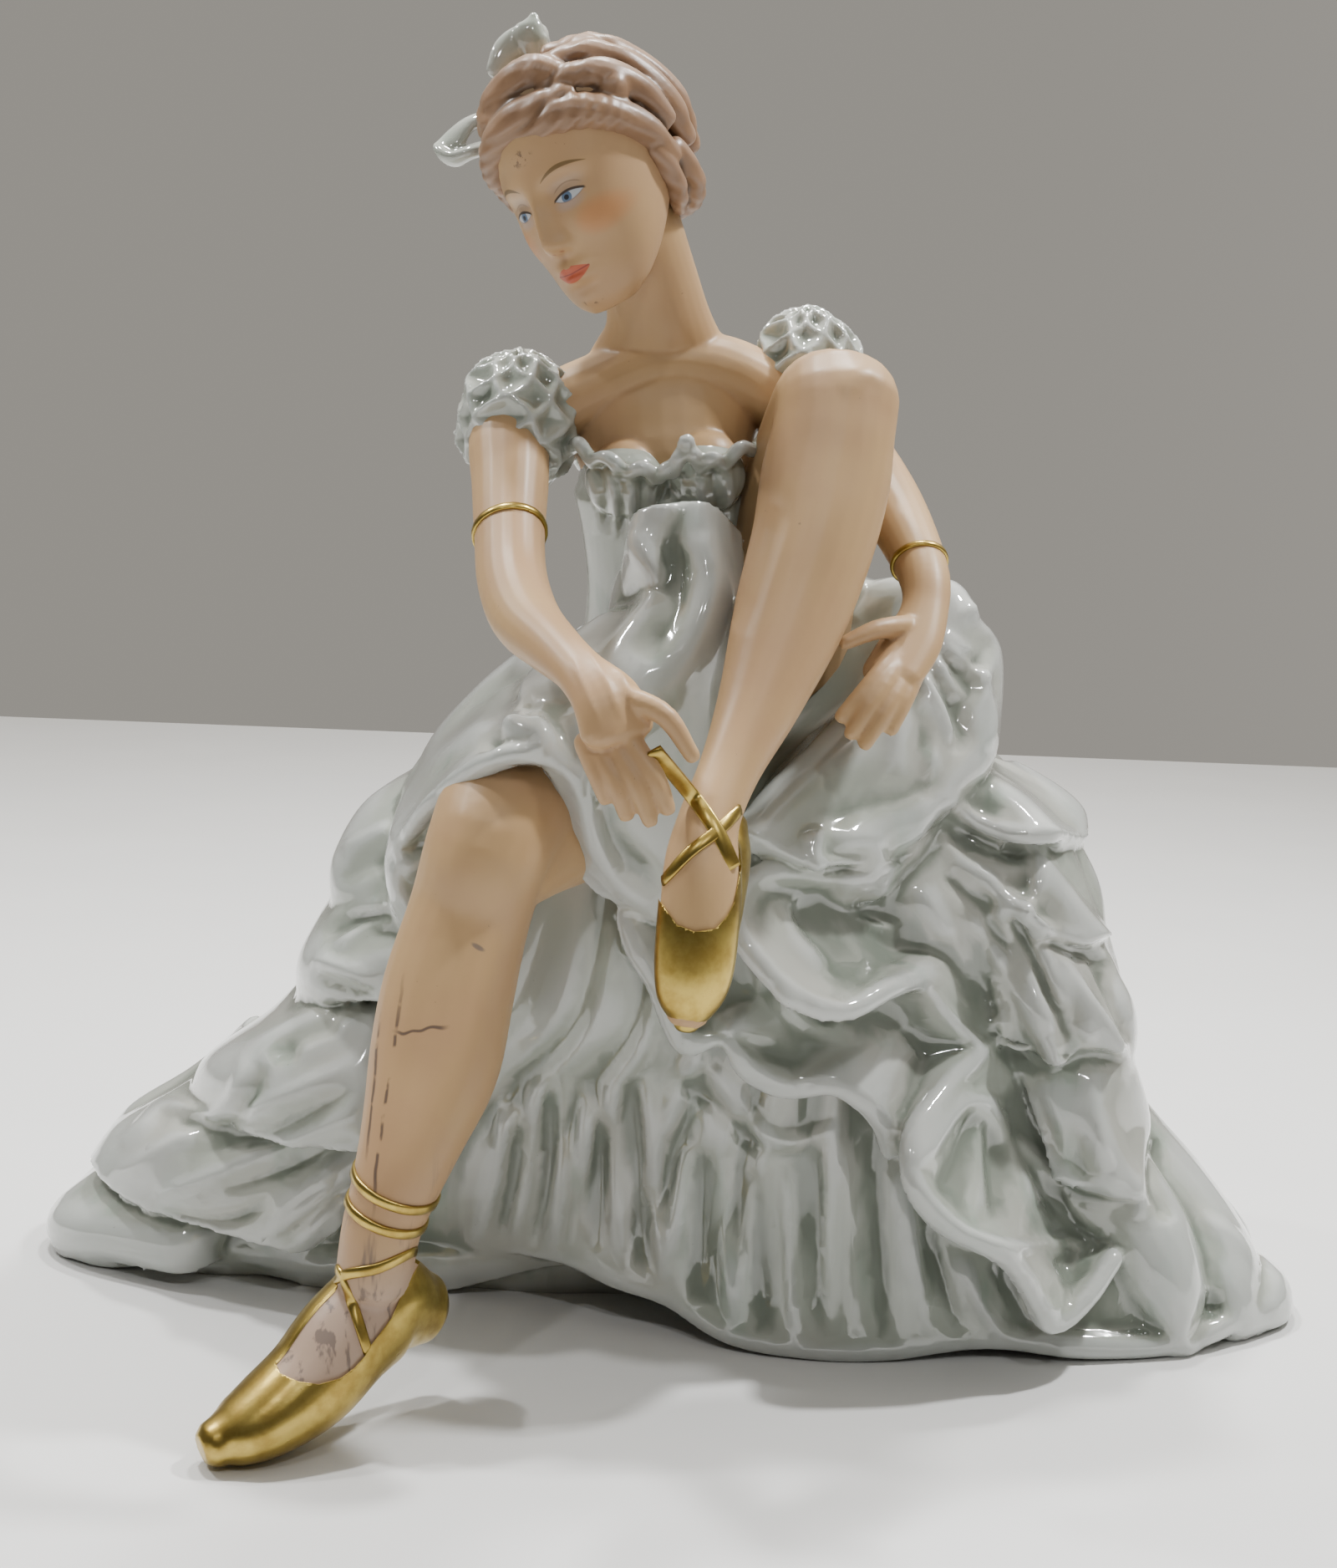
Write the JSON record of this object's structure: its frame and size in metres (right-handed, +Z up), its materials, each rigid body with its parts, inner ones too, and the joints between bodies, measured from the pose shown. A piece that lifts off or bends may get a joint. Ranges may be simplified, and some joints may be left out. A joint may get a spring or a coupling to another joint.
{
  "type": "ballerina figurine",
  "caption": "Glazed porcelain figurine of a seated ballerina tying the ribbon of her raised slipper, her flounced dress spread as the mound she sits on; a table ornament.",
  "frame": {"origin": "on the table plane, under the middle of the figure, on its flat underside", "axes": "+Z up, the figure faces -Y, +X to the side of her raised left leg"},
  "size_m": [0.2435, 0.163, 0.2302],
  "materials": {
    "porcelain": "glossy pale mint glaze with matt flesh tones and gilding"
  },
  "bodies": {
    "root": {"ballerina_figurine": "porcelain"}
  },
  "joints": []
}
